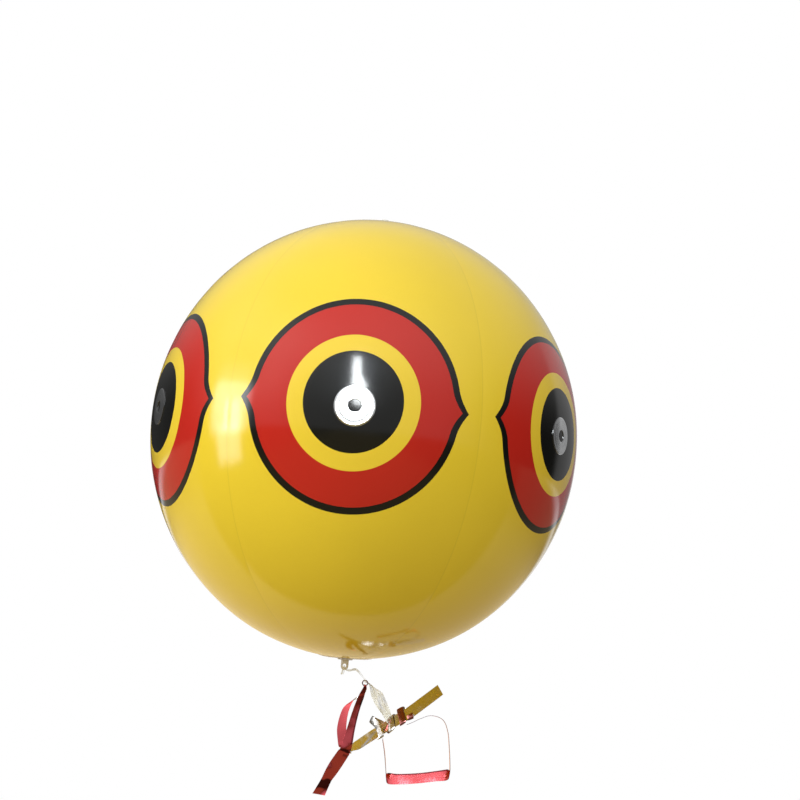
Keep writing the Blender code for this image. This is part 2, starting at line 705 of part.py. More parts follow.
def make_tail(ball_pivot):
    clear = material("clear_ribbon", (0.88, 0.88, 0.80), 0.2, alpha=0.6)
    red = material("red_tape", (0.62, 0.06, 0.06), 0.25, metallic=0.8)
    silver = material("silver_tape", (0.70, 0.68, 0.66), 0.2, metallic=1.0)
    dark = material("knot", (0.12, 0.05, 0.05), 0.3, metallic=0.8)

    tail_pivot = add_pivot("tail_hinge", (0, 0, TAB_HOLE_Z), ball_pivot)
    tail_place = world_of(tail_pivot)
    ribbon = ribbon_mesh("tie_ribbon", CLEAR_ROUTE, CLEAR_THICKNESS, tail_place)
    add_object("tie_ribbon", ribbon, clear, tail_pivot)
    bow = ribbon_mesh("bow_streamer", BOW_ROUTE, TAPE_THICKNESS, tail_place)
    add_object("bow_streamer", bow, silver, tail_pivot)

    ring_place = Vector(RING_PLACE) * MM + Vector((0, 0, BALL_CENTRE_Z))
    ring = ring_mesh("knot_ring", KNOT_RING_RADIUS, KNOT_WIRE_RADIUS, 24, 8)
    add_object("knot_ring", ring, dark, tail_pivot, ring_place - tail_place)

    loop_place = LOOP_PLACE * MM + Vector((0, 0, BALL_CENTRE_Z))
    for index, (along, pitch, first_turn, last_turn, loosening) in enumerate(WINDINGS):
        name = f"tape_wrap_{index + 1}"
        wrap = winding_mesh(name, pitch, first_turn, last_turn, loosening)
        place = loop_place + STRIP_WAY * along
        add_object(name, wrap, silver, tail_pivot, place - tail_place, (0, -STRIP_SLOPE, 0))

    red_pivot = add_pivot("red_hinge", ring_place, tail_pivot)
    streamer = ribbon_mesh("red_streamer", RED_ROUTE, TAPE_THICKNESS, world_of(red_pivot))
    add_object("red_streamer", streamer, red, red_pivot)

    loop_pivot = add_pivot("loop_hinge", loop_place, tail_pivot)
    loop = ribbon_mesh("loop_streamer", LOOP_ROUTE, TAPE_THICKNESS, world_of(loop_pivot))
    add_object("loop_streamer", loop, red, loop_pivot)


clear_scene()
PARTS = new_collection("bird_scare_balloon")
ball_centre = add_pivot("ball_centre", (0, 0, BALL_CENTRE_Z))
make_ball(ball_centre)
make_patches(ball_centre)
clear_vinyl = make_valve_base(ball_centre)
make_valve(ball_centre, clear_vinyl)
make_tab(ball_centre)
make_tail(ball_centre)
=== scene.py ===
import math

import bpy
import numpy as np
from mathutils import Matrix, Vector, noise


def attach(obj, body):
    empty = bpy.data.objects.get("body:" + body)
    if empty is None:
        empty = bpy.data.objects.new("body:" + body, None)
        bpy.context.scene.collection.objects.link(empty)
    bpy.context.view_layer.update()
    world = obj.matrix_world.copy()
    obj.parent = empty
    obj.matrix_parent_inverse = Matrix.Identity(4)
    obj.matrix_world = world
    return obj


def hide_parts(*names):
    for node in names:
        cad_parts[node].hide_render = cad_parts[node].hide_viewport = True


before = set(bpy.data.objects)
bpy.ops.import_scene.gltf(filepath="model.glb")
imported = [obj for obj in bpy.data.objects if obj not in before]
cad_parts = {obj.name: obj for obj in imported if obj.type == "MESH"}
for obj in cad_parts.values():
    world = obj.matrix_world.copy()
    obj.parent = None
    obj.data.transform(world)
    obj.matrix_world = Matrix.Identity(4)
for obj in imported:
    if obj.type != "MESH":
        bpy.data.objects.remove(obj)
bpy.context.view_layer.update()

MM = 0.001

# Sizes that the solids have too
EQUATOR_RADIUS = 200 * MM
POLE_RADIUS = 206 * MM
BALL_CENTRE = Vector((0, 0, -207.6 * MM))
GORE_COUNT = 6
GORE_HALF = 180 / GORE_COUNT
GORE_END_LATITUDE = 86.5
FILM = 0.3 * MM
LAP_WIDTH = 5 * MM
DISC_RADIUS = 16 * MM
PATCH_RADIUS = 26 * MM
PATCH_THICKNESS = 0.4 * MM
RING_PLACE = (20.3, -1.9, -227.0)
RING_RADIUS = 2.4 * MM
RING_WIRE_RADIUS = 0.5 * MM

# Latitude of the printed eyes, and how far each print sits east and north of it, in degrees
EYE_LATITUDE = 0.15
EYE_REGISTER = ((0, 0), (0.35, 0.7), (0, 0), (0, 0), (0, 0), (-1.5, -0.33))

# Sizes that differ from the solids: a shallower seam, a wider hole in the discs, and how far each disc
# sits east and north of its eye's middle, in millimetres
SEAM_DIP = 0.4 * MM
DISC_HOLE_RADIUS = 5.0 * MM
DISC_SHIFT = ((1.6, -3.6), (-3.0, -2.0), (0, 0), (0, 0), (0, 0), (0, 0))

# Fine relief of the film: broad swells, puckers and a pressed band at the welds, and pleats near the poles
SWELL_HEIGHT = 0.35 * MM
PUCKER_HEIGHT = 0.06 * MM
PUCKER_REACH = 9 * MM
WELD_DEPTH = 0.03 * MM
WELD_WIDTH = 1.6 * MM
PLEAT_HEIGHT = 0.22 * MM
PLEAT_COUNT = 30
PLEAT_LATITUDE = 66
PLEAT_SPREAD = 20
LAP_DROP = FILM * 1.2

# Foil discs and pole patches, with their heights over the film
DISC_UNDERSIDE = 0.12 * MM
DISC_TOP = 0.42 * MM
DISC_RIDGES = 7
DISC_RIDGE_HEIGHT = 0.03 * MM
DISC_RIM_DROP = 0.12 * MM
GROOVE_PITCH = 1.1 * MM
PATCH_GAP = 0.25 * MM
PATCH_HOLE_RADIUS = 7.3 * MM
PATCH_FLAT_RADIUS = 8 * MM
PATCH_PLEAT_HEIGHT = 0.18 * MM
PATCH_RIPPLE_HEIGHT = 0.1 * MM

# Thickness of the tapes: the loop's as in the solids, and the others' less
TAPE_THICKNESS = 0.2 * MM
LOOP_THICKNESS = 0.35 * MM

# Rounding of the edges of the solids that stay in the scene
BEVEL_WIDTH = 0.12 * MM
BEVEL_DEGREES = 40

# Fineness of the meshes
GORE_ROWS = 229
ROUND_STEPS = 96
TAPE_COLUMNS = 12

# Tail routes, in millimetres from the ball's centre, as (centre, half of the width)
CLEAR_ROUTE = [
    ((-1.6, 3.4, -221.5), (1.6, 0.0, 0.2)),
    ((-0.8, 2.6, -217.0), (1.2, 0.0, 0.1)),
    ((-0.1, 1.5, -213.9), (0.8, 0.0, 0.0)),
    ((0.0, 0.0, -213.1), (0.8, 0.0, 0.0)),
    ((0.2, -1.5, -213.9), (0.8, 0.0, 0.1)),
    ((1.6, -2.1, -216.2), (0.9, 0.1, 0.7)),
    ((5.4, -1.8, -216.8), (0.3, -0.2, 1.1)),
    ((10.8, -1.4, -215.8), (0.3, 0.6, 0.9)),
    ((16.2, -1.9, -220.0), (0.5, 0.6, 0.5)),
    ((19.6, -3.4, -223.6), (0.8, 0.0, 0.2)),
    ((20.5, -3.0, -225.2), (0.8, 0.0, 0.0)),
    ((20.6, -1.9, -225.8), (0.8, 0.0, 0.0)),
    ((20.9, -0.6, -226.1), (0.8, 0.1, 0.0)),
    ((23.4, 0.9, -227.4), (1.0, 0.9, -0.9)),
    ((27.2, 1.4, -229.8), (3.0, 1.4, -1.6)),
    ((31.7, 1.2, -236.6), (4.6, -1.0, 2.4)),
    ((37.1, 1.4, -245.0), (4.4, 1.6, 2.2)),
    ((42.0, 2.6, -252.6), (3.4, -1.2, 2.0)),
    ((45.6, 3.0, -259.4), (2.6, 0.6, 1.4)),
]
RED_ROUTE = [
    ((20.3, -0.3, -235.2), (1.6, 0.0, 0.2)),
    ((20.3, -0.5, -231.4), (1.2, 0.0, 0.0)),
    ((20.3, -1.0, -229.2), (0.9, 0.0, 0.0)),
    ((20.3, -1.9, -228.4), (0.9, 0.0, 0.0)),
    ((20.3, -2.8, -229.2), (0.9, 0.0, 0.0)),
    ((20.2, -3.4, -231.6), (1.4, 1.2, -0.4)),
    ((18.1, -3.4, -238.7), (2.4, 1.5, -0.7)),
    ((14.4, -3.6, -251.4), (2.8, 0.9, -0.7)),
    ((11.4, -5.2, -267.0), (3.5, 0.9, -0.7)),
    ((9.4, -6.9, -280.0), (4.4, 1.1, -1.0)),
    ((7.8, -7.6, -286.2), (4.6, 2.9, -1.4)),
    ((6.2, -6.2, -289.4), (4.9, 1.6, -2.0)),
    ((0.6, -6.0, -299.2), (4.9, 1.0, -2.5)),
    ((-3.2, -6.2, -306.0), (4.6, 2.4, -2.4)),
    ((-6.6, -5.6, -313.0), (4.2, 3.5, -1.5)),
    ((-9.6, -4.4, -320.0), (4.6, 3.7, -1.5)),
    ((-12.6, -4.2, -326.7), (5.6, 0.6, -0.6)),
]
BOW_ROUTE = [
    ((20.9, 0.7, -229.8), (0.9, 0.0, 0.0)),
    ((20.4, 1.5, -233.4), (1.6, 0.4, 0.2)),
    ((17.4, 2.4, -239.6), (1.9, 0.8, 1.2)),
    ((10.4, 2.2, -243.4), (1.8, -0.2, 1.6)),
    ((4.6, 0.6, -252.6), (3.0, -0.95, -0.5)),
    ((2.6, -1.6, -267.4), (4.2, -1.2, 0.25)),
    ((4.6, -3.6, -279.0), (4.5, -1.2, 0.4)),
    ((6.6, -4.6, -285.0), (4.9, -1.6, -0.6)),
    ((8.4, -2.6, -286.8), (4.8, -2.4, -2.4)),
    ((11.4, 0.6, -286.0), (2.7, -4.6, -1.0)),
    ((18.0, 2.0, -282.6), (2.2, -4.3, -2.6)),
    ((25.0, 1.9, -277.2), (2.1, -4.15, -3.0)),
    ((31.0, 1.2, -272.6), (2.0, -4.0, -3.2)),
    ((41.6, 0.4, -264.9), (2.1, -4.0, -3.2)),
    ((52.7, 0.0, -256.8), (2.4, -3.5, -3.5)),
    ((63.0, -0.2, -249.8), (2.7, -3.1, -3.7)),
    ((75.9, -0.6, -238.9), (2.8, -3.0, -3.7)),
    ((89.6, -1.0, -227.1), (2.7, -3.0, -3.7)),
]
LOOP_ROUTE = [
    ((40.6, 0.0, -275.0), (0.0, -5.0, 0.0)),
    ((42.4, 0.0, -282.0), (0.0, -5.8, 0.0)),
    ((44.2, 0.0, -290.5), (0.0, -6.0, 0.0)),
    ((46.0, 0.2, -302.5), (0.0, -5.9, 0.6)),
    ((46.8, 0.4, -306.6), (0.0, -5.2, -1.2)),
    ((48.8, 0.4, -308.5), (0.0, -2.9, -4.1)),
    ((58.0, 0.4, -308.4), (0.0, -2.0, -4.1)),
    ((76.0, 0.4, -306.0), (0.0, -2.1, -4.0)),
    ((92.0, 0.4, -302.8), (0.0, -2.0, -4.1)),
    ((101.4, 0.4, -300.9), (0.0, -2.9, -4.1)),
    ((103.2, 0.2, -299.0), (0.0, -5.2, -1.2)),
    ((103.3, 0.0, -293.0), (0.0, -5.9, 0.6)),
    ((101.6, 0.0, -278.0), (0.0, -6.0, 0.4)),
    ((99.0, 0.0, -263.0), (0.0, -6.0, 0.6)),
    ((93.6, 0.0, -253.4), (0.0, -5.9, 0.8)),
    ((83.0, 0.0, -250.8), (0.0, -5.7, 0.8)),
    ((73.6, 0.0, -254.2), (0.0, -5.2, 0.7)),
    ((66.0, 0.0, -258.4), (0.0, -4.8, 0.6)),
    ((61.4, 0.0, -260.3), (0.0, -4.6, 0.4)),
]
STRIP_START = Vector(BOW_ROUTE[13][0])
LOOP_PLACE = Vector(BOW_ROUTE[14][0])
STRIP_WAY = (LOOP_PLACE - STRIP_START).normalized()
STRIP_UP = -Vector(BOW_ROUTE[14][1]).normalized()
STRIP_DEEP = STRIP_UP.cross(STRIP_WAY).normalized()

# Windings: distance past the loop's place, pitch, first and last turn, how much looser it gets, and the
# slack, which lifts the tape off the strip around SLACK_TURN
WINDINGS = (
    (-17.9 * MM, 11.4 * MM, 0.45, 2.12, 0.0, 8.5 * MM),
    (4.8 * MM, 8.2 * MM, 0.42, 1.66, 0.3, 0.0),
)
WRAP_TAPE_WIDTH = 6.2 * MM
WRAP_HALF_WIDTH = 6.9 * MM
WRAP_HALF_DEPTH = 1.5 * MM
FRONT_TURN = 0.75
SLACK_TURN = 0.98
SLACK_SPREAD = 0.14

# The printed eye, as radii on the film from the eye's middle
OUTLINE_OUTER = 85.3 * MM
OUTLINE_INNER = 79.7 * MM
IRIS_OUTER = 52.3 * MM
PUPIL_OUTER = 39.0 * MM
CUSP_HEIGHT = 7.7 * MM
CUSP_DEGREES = 13.0
CUSP_POWER = 2.2
INK_EDGE = 0.12 * MM

YELLOW = (0.92, 0.66, 0.038)
IRIS_YELLOW = (0.92, 0.65, 0.045)
RED_INK = (0.56, 0.021, 0.012)
BLACK_INK = (0.006, 0.006, 0.005)
# Colour of the painted shade in the dark bands of the red foil
PAINTED_SHADE_COLOUR = (0.05, 0.01, 0.015)

# Painted shade on the red foil, as dark bands at creases and edges: start and end along the tape, start and
# end across it from -1 to 1, and depth
RED_PAINTED_SHADE = (
    (9 * MM, 16.5 * MM, -1.0, 1.0, 0.75),
    (17.8 * MM, 27 * MM, -1.0, 1.0, 0.65),
    (22 * MM, 62 * MM, 0.66, 1.0, 0.60),
    (66 * MM, 69.5 * MM, -1.0, 1.0, 0.95),
    (71.5 * MM, 74 * MM, 0.1, 1.0, 0.60),
    (98 * MM, 107.5 * MM, -1.0, 1.0, 0.95),
)
LOOP_PAINTED_SHADE = ((33 * MM, 91 * MM, -1.0, -0.7, 0.80),)
# Edges of the bands of painted shade: softness, slant across the tape and raggedness
SHADE_BAND_SOFTNESS = 1.4 * MM
SHADE_BAND_SLANT = 0.9 * MM
SHADE_BAND_RAGGEDNESS = 1.6 * MM

# Room light, as the brightness that the object sees in each direction, and as the floor that it mirrors
FRONT_LIGHT = 0.42
BEHIND_RIGHT_LIGHT = 0.28
ABOVE_LIGHT = 0.68
LEFT_LIGHT = 0.06
RIGHT_LIGHT = 0.03
FRONT_FLOOR_LIGHT = (0.30, 0.24, 0.11)
LEFT_FLOOR_LIGHT = (0.98, 0.80, 0.50)
RIGHT_FLOOR_LIGHT = (0.74, 0.62, 0.40)
FAR_FLOOR_LIGHT = (0.06, 0.05, 0.04)

# Soft bright patches of the room: azimuth from the front towards +X, elevation, half width, half height
# and softness in degrees, then the brightness of each channel
ROOM_PATCHES = (
    (-4, 22, 14, 12, 16, (0.28, 0.32, 0.36)),
    (-3, 22, 5, 10, 9, (1.3, 1.5, 1.7)),
    (-38, 26, 18, 16, 20, (0.18, 0.18, 0.18)),
    (-66, 26, 24, 20, 24, (0.60, 0.60, 0.56)),
)

# Windows of the room, which only the object sees. The front one is an outline in x and z on a plane
FRONT_WINDOW_Y = -2.0
FRONT_WINDOW_LIGHT = 30.0
FRONT_WINDOW = (
    (-0.235, 1.13),
    (-0.215, 0.86),
    (-0.200, 0.62),
    (-0.130, 0.25),
    (0.040, 0.25),
    (0.045, 0.58),
    (-0.060, 0.80),
    (-0.095, 1.13),
)
# The left one is a card with soft rectangles: middle, half width, half height, softness and brightness
LEFT_WINDOW_DISTANCE = 2.2
LEFT_WINDOW_AZIMUTH = -70.0
LEFT_WINDOW = (
    (0.125, 0.20, 0.40, 0.38, 0.24, 5.0),
    (0.100, 0.45, 0.34, 0.40, 0.34, 1.2),
    (0.200, 0.07, 0.12, 0.24, 0.16, 6.0),
    (0.115, -0.36, 0.23, 0.30, 0.14, 4.6),
)
LEFT_WINDOW_CARD = ((-0.6, -0.9, 0), (0.8, -0.9, 0), (0.8, 1.1, 0), (-0.6, 1.1, 0))

# Floor: half of its width, and its height in the part's frame
FLOOR_HALF_SIZE = 14
FLOOR_HEIGHT = -1.25

# Camera, fitted to the ball's outline in the photograph
CAMERA_PLACE = (0.05558, -0.94015, -0.33225)
CAMERA_RIGHT = (0.99640, 0.01246, 0.08382)
CAMERA_UP = (-0.08042, -0.17272, 0.98168)
CAMERA_BACK = (0.02671, -0.98489, -0.17110)
CAMERA_LENS = 44.508
CAMERA_SENSOR = 36


# Small helpers for node materials

def new_material(name):
    made = bpy.data.materials.new(name)
    made.use_nodes = True
    return made, made.node_tree, made.node_tree.nodes["Principled BSDF"]


def add_node(tree, kind, **values):
    """A node of that kind. A value named in_NAME goes to the input NAME, and any other is an attribute."""
    made = tree.nodes.new(kind)
    for name, value in values.items():
        if not name.startswith("in_"):
            setattr(made, name, value)
    for name, value in values.items():
        if name.startswith("in_"):
            key = name[3:]
            made.inputs[int(key) if key.isdigit() else key.replace("_", " ")].default_value = value
    return made


def link(tree, source, target):
    tree.links.new(source, target)


def maths(tree, operation, first, second=None):
    made = tree.nodes.new("ShaderNodeMath")
    made.operation = operation
    for slot, value in enumerate((first, second)):
        if value is None:
            continue
        if isinstance(value, (int, float)):
            made.inputs[slot].default_value = value
        else:
            link(tree, value, made.inputs[slot])
    return made.outputs[0]


def split_axes(tree, vector):
    """The X, Y and Z outputs of a vector."""
    made = tree.nodes.new("ShaderNodeSeparateXYZ")
    link(tree, vector, made.inputs["Vector"])
    return made.outputs


def ramp(tree, value, low, high, start=0.0, end=1.0, kind="LINEAR"):
    """The value mapped from low..high to start..end and held there."""
    made = tree.nodes.new("ShaderNodeMapRange")
    made.clamp = True
    made.interpolation_type = kind
    link(tree, value, made.inputs["Value"])
    made.inputs["From Min"].default_value = low
    made.inputs["From Max"].default_value = high
    made.inputs["To Min"].default_value = start
    made.inputs["To Max"].default_value = end
    return made.outputs["Result"]


def mix_colour(tree, share, first, second, blend="MIX"):
    made = tree.nodes.new("ShaderNodeMix")
    made.data_type = "RGBA"
    made.blend_type = blend
    for slot, value in ((0, share), (6, first), (7, second)):
        if isinstance(value, (int, float)):
            made.inputs[slot].default_value = value
        elif isinstance(value, tuple):
            made.inputs[slot].default_value = (*value, 1.0)
        else:
            link(tree, value, made.inputs[slot])
    return made.outputs[2]


def noise_value(tree, scale, detail=2.0, roughness=0.5, stretch=(1, 1, 1), where=None):
    """Noise over object coordinates, or over the vector given, with its scale in waves per metre."""
    mapping = tree.nodes.new("ShaderNodeMapping")
    mapping.inputs["Scale"].default_value = stretch
    if where is None:
        where = tree.nodes.new("ShaderNodeTexCoord").outputs["Object"]
    link(tree, where, mapping.inputs["Vector"])
    made = tree.nodes.new("ShaderNodeTexNoise")
    made.inputs["Scale"].default_value = scale
    made.inputs["Detail"].default_value = detail
    made.inputs["Roughness"].default_value = roughness
    link(tree, mapping.outputs["Vector"], made.inputs["Vector"])
    return made.outputs["Fac"]


def bump(tree, shader, height, distance, strength=1.0, after=None):
    made = tree.nodes.new("ShaderNodeBump")
    made.inputs["Strength"].default_value = strength
    made.inputs["Distance"].default_value = distance
    link(tree, height, made.inputs["Height"])
    if after:
        link(tree, after.outputs["Normal"], made.inputs["Normal"])
    link(tree, made.outputs["Normal"], shader.inputs["Normal"])
    return made


def eye_colour(tree, axes):
    """The printed rings, from the distance to the eye's middle. The two outer ones have pointed corners."""
    across = maths(tree, "ABSOLUTE", axes["X"])
    along = maths(tree, "ABSOLUTE", axes["Y"])
    across_squared = maths(tree, "MULTIPLY", across, across)
    along_squared = maths(tree, "MULTIPLY", along, along)
    reach = maths(tree, "SQRT", maths(tree, "ADD", across_squared, along_squared))
    angle = maths(tree, "ARCTAN2", along, across)
    near_corner = ramp(tree, angle, 0.0, math.radians(CUSP_DEGREES), 1.0, 0.0)
    cusp = maths(tree, "MULTIPLY", maths(tree, "POWER", near_corner, CUSP_POWER), CUSP_HEIGHT)
    with_cusp = maths(tree, "SUBTRACT", reach, cusp)

    def inside(radius, distance):
        return ramp(tree, distance, radius - INK_EDGE, radius + INK_EDGE, 1.0, 0.0)

    colour = mix_colour(tree, inside(OUTLINE_OUTER, with_cusp), YELLOW, BLACK_INK)
    colour = mix_colour(tree, inside(OUTLINE_INNER, with_cusp), colour, RED_INK)
    colour = mix_colour(tree, inside(IRIS_OUTER, reach), colour, IRIS_YELLOW)
    return mix_colour(tree, inside(PUPIL_OUTER, reach), colour, BLACK_INK)


def vinyl_material():
    """Glossy printed vinyl, a little cloudy, and a little darker along the weld."""
    made, tree, shader = new_material("printed_vinyl")
    place = add_node(tree, "ShaderNodeAttribute", attribute_name="print")
    axes = split_axes(tree, place.outputs["Vector"])
    colour = eye_colour(tree, axes)
    cloud = noise_value(tree, 9.0, 3.0)
    tone = ramp(tree, cloud, 0.3, 0.7, 0.95, 1.0)
    speck = ramp(tree, noise_value(tree, 900.0, 2.0), 0.3, 0.7, 0.985, 1.0)
    shade = maths(tree, "MULTIPLY", tone, speck)
    weld = ramp(tree, axes["Z"], 0.25 * MM, 0.75 * MM, 0.93, 1.0)
    shade = maths(tree, "MULTIPLY", shade, weld)
    grey = tree.nodes.new("ShaderNodeCombineColor")
    for channel in ("Red", "Green", "Blue"):
        link(tree, shade, grey.inputs[channel])
    colour = mix_colour(tree, 1.0, colour, grey.outputs["Color"], "MULTIPLY")
    link(tree, colour, shader.inputs["Base Color"])
    link(tree, ramp(tree, noise_value(tree, 40.0, 4.0), 0.3, 0.7, 0.09, 0.13), shader.inputs["Roughness"])
    shader.inputs["IOR"].default_value = 1.5
    fine = bump(tree, shader, noise_value(tree, 420.0, 2.0), 0.02 * MM, 0.5)
    bump(tree, shader, noise_value(tree, 30.0, 2.0), 0.25 * MM, 0.25, fine)
    return made


def film_material(name, colour):
    """Clear crumpled film, more see-through where it is drawn thin, with milky folds and painted shade in
    the darker folds along it.
    """
    made, tree, shader = new_material(name)
    flat = add_node(tree, "ShaderNodeAttribute", attribute_name="flat").outputs["Vector"]
    folds = noise_value(tree, 330.0, 1.0, 0.5, (0.22, 1.0, 0.0), flat)
    wide = ramp(tree, split_axes(tree, flat)["Z"], 1.0 * MM, 3.0 * MM, 0.16, 0.40)
    link(tree, maths(tree, "ADD", wide, ramp(tree, folds, 0.42, 0.66, -0.05, 0.42)), shader.inputs["Alpha"])
    milky = tuple(min(1.0, value * 1.08) for value in colour)
    # Painted shade: the darker folds of the clear film are its colour darkened
    dark = tuple(0.45 * value for value in colour)
    link(tree, mix_colour(tree, ramp(tree, folds, 0.30, 0.48), dark, milky), shader.inputs["Base Color"])
    link(tree, ramp(tree, folds, 0.3, 0.7, 0.25, 0.40), shader.inputs["Roughness"])
    shader.inputs["IOR"].default_value = 1.5
    bump(tree, shader, folds, 0.2 * MM, 0.3)
    return made


def foil_material(name, colour, roughness, groove=False, painted_shade=False):
    """Bright metallised film, with the turned rings of the discs or the painted shade in dark bands on the
    red tapes.
    """
    made, tree, shader = new_material(name)
    shader.inputs["Metallic"].default_value = 1.0
    if groove:
        place = add_node(tree, "ShaderNodeAttribute", attribute_name="print")
        length = add_node(tree, "ShaderNodeVectorMath", operation="LENGTH")
        link(tree, place.outputs["Vector"], length.inputs[0])
        wave = maths(tree, "SINE", maths(tree, "MULTIPLY", length.outputs["Value"], math.tau / GROOVE_PITCH))
        rings = bump(tree, shader, wave, 0.02 * MM, 0.5)
        bump(tree, shader, noise_value(tree, 300.0, 3.0), 0.05 * MM, 0.4, rings)
    else:
        fine = bump(tree, shader, noise_value(tree, 500.0, 2.0), 0.01 * MM, 0.12)
        bump(tree, shader, noise_value(tree, 90.0, 1.0), 0.08 * MM, 0.2, fine)
    worn = noise_value(tree, 180.0, 3.0, 0.5)
    link(tree, ramp(tree, worn, 0.35, 0.75, roughness, roughness + 0.08), shader.inputs["Roughness"])
    dull = tuple(0.92 * value for value in colour)
    base = mix_colour(tree, ramp(tree, worn, 0.3, 0.8), colour, dull)
    if painted_shade:
        # Painted shade: the red foil is darkened in bands at creases and edges
        shade = add_node(tree, "ShaderNodeAttribute", attribute_name="shade").outputs["Fac"]
        base = mix_colour(tree, shade, PAINTED_SHADE_COLOUR, base)
    link(tree, base, shader.inputs["Base Color"])
    return made


def clear_material(name, colour, alpha, roughness):
    """Clear soft vinyl, a little milky, with fine creases."""
    made, tree, shader = new_material(name)
    cloud = noise_value(tree, 160.0, 4.0)
    milky = tuple(min(1.0, value * 1.06) for value in colour)
    link(tree, mix_colour(tree, ramp(tree, cloud, 0.3, 0.7), colour, milky), shader.inputs["Base Color"])
    link(tree, ramp(tree, cloud, 0.35, 0.7, alpha, min(1.0, alpha + 0.25)), shader.inputs["Alpha"])
    link(tree, ramp(tree, cloud, 0.3, 0.7, roughness, roughness + 0.12), shader.inputs["Roughness"])
    shader.inputs["IOR"].default_value = 1.5
    bump(tree, shader, cloud, 0.25 * MM, 0.5)
    return made


# Mesh helpers

def add_piece(name, points, faces, looks, indices=None, smooth=True):
    mesh = bpy.data.meshes.new(name)
    mesh.from_pydata([tuple(point) for point in points], [], [tuple(face) for face in faces])
    for look in looks:
        mesh.materials.append(look)
    if indices is not None:
        mesh.polygons.foreach_set("material_index", np.asarray(indices, np.int32))
    mesh.polygons.foreach_set("use_smooth", np.full(len(mesh.polygons), smooth))
    mesh.update()
    piece = bpy.data.objects.new(name, mesh)
    bpy.context.scene.collection.objects.link(piece)
    return piece


def store_print(piece, values):
    layer = piece.data.attributes.new("print", "FLOAT_VECTOR", "POINT")
    layer.data.foreach_set("vector", np.asarray(values, np.float32).ravel())


def finish_piece(piece, body, slot, *nodes):
    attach(piece, body)
    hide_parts(*nodes)


def sharpen(piece, degrees=35):
    """Marks the edges sharper than that, so that smooth shading stops at them."""
    piece.data.set_sharp_from_angle(angle=math.radians(degrees))


# The ball's skin

def seam_waves(seam, along):
    """Small puckers that the weld leaves along a seam, from -1 to 1. Both gores at a seam get the same."""
    first = noise.noise(Vector((along / (16 * MM), seam * 7.3, 1.7)))
    second = noise.noise(Vector((along / (7 * MM), seam * 3.1, 9.2)))
    return first * 1.3 + second * 0.6


def skin_point(gore, longitude, latitude, offset):
    """A point of the film, with the longitude in degrees from the middle of its gore."""
    total = longitude + 360 / GORE_COUNT * gore
    north = math.radians(latitude)
    east = math.radians(total)
    to_seam = min(abs(longitude), GORE_HALF) / GORE_HALF
    width = math.cos(north)
    dip = SEAM_DIP * to_seam**6 * width
    from_seam = max(0.0, math.radians(GORE_HALF - abs(longitude)) * EQUATOR_RADIUS * width)
    seam = (gore + (1 if longitude > 0 else 0)) % GORE_COUNT
    along = north * POLE_RADIUS
    pucker = PUCKER_HEIGHT * math.exp(-from_seam / PUCKER_REACH) * seam_waves(seam, along)
    band = WELD_DEPTH * (1 - min(1.0, max(0.0, (from_seam - WELD_WIDTH) / WELD_WIDTH)))
    way = Vector((math.cos(north) * math.sin(east), -math.cos(north) * math.cos(east), math.sin(north)))
    swell = SWELL_HEIGHT * noise.noise(way * 2.6 + Vector((3.1, 0.4, 7.7)))
    near_pole = max(0.0, (abs(latitude) - PLEAT_LATITUDE) / PLEAT_SPREAD)
    wave = math.cos(math.radians(total * PLEAT_COUNT))
    pleat = PLEAT_HEIGHT * near_pole**2 * wave * (1 - min(1.0, near_pole) ** 6)
    lift = offset + swell + pucker + pleat - dip - band
    radius = EQUATOR_RADIUS + lift
    height = POLE_RADIUS + lift
    return BALL_CENTRE + Vector((radius * way.x, radius * way.y, height * way.z))


def print_place(gore, longitude, latitude):
    """A point's place on the print: x and y from the eye's middle, and the distance to the seam."""
    register_east, register_north = EYE_REGISTER[gore]
    north = math.radians(latitude)
    east = math.radians(longitude - register_east)
    eye = math.radians(EYE_LATITUDE + register_north)
    right = math.cos(north) * math.sin(east)
    ahead = math.cos(north) * math.cos(east)
    up = math.sin(north)
    front = ahead * math.cos(eye) + up * math.sin(eye)
    rise = up * math.cos(eye) - ahead * math.sin(eye)
    side = math.hypot(right, rise)
    reach = EQUATOR_RADIUS * math.atan2(side, front)
    from_seam = math.radians(GORE_HALF - abs(longitude)) * EQUATOR_RADIUS * math.cos(north)
    if side < 1e-9:
        return (0.0, 0.0, from_seam)
    return (reach * right / side, reach * rise / side, from_seam)


def gore_longitudes():
    """Columns across a gore, closest beside its two seams, and those of the lap under the next gore."""
    from_seam = [0, 0.9, 1.7, 2.5, 3.3, 4.6, 6.2, 8.5, 11.5, 15.5, 21, 28, 37, 48, 60, 74, 89]
    to_degrees = math.degrees(MM / EQUATOR_RADIUS)
    left = [-GORE_HALF + value * to_degrees for value in from_seam]
    columns = left + [0.0] + [-value for value in reversed(left)]
    lap = [GORE_HALF + value * to_degrees for value in (0.25, 1.5, 3.2, LAP_WIDTH / MM)]
    return columns, lap


